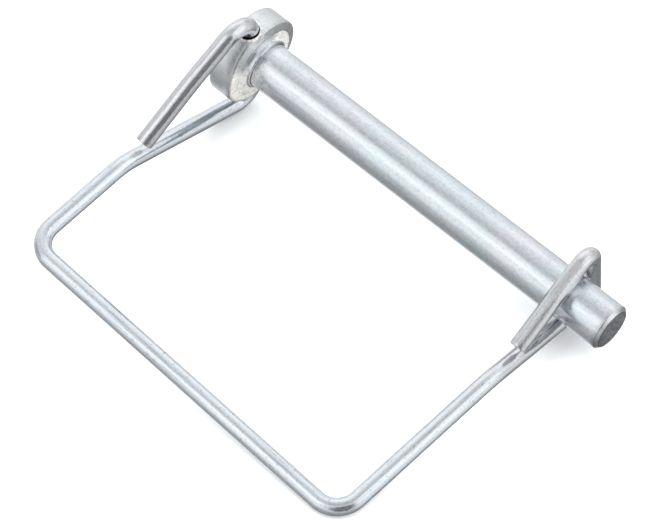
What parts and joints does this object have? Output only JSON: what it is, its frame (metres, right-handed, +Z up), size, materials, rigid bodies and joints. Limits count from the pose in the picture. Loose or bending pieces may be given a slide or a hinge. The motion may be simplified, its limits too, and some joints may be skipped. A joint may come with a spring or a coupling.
{
  "type": "locking pin",
  "caption": "Headed steel pin with a square spring-wire bail that hinges in a cross hole through the head and snaps round the pin's tip.",
  "frame": {"origin": "middle of the base of the box round the part, on the surface that it lies on", "axes": "+X along the shaft's run over the surface, from the head to the tip; the bail lies towards -Y; +Z up"},
  "size_m": [0.081, 0.0616, 0.0253],
  "materials": {
    "zinc_plated_steel": "turned steel, bright zinc plated, slightly mottled and satin",
    "zinc_plated_wire": "drawn round spring wire, bright zinc plated, with fine lengthwise draw marks"
  },
  "bodies": {
    "pin": {"locking_pin": "zinc_plated_steel"},
    "bail": {"wire_bail": "zinc_plated_wire"}
  },
  "joints": [
    {"name": "bail_swing", "type": "hinge", "parent": "pin", "child": "bail", "pos_m": [-0.03521, 0.02271, 0.01312], "axis": [0.0724, -0.1744, 0.982], "range_deg": [-250, 0], "deforming": ["wire_bail"]}
  ]
}
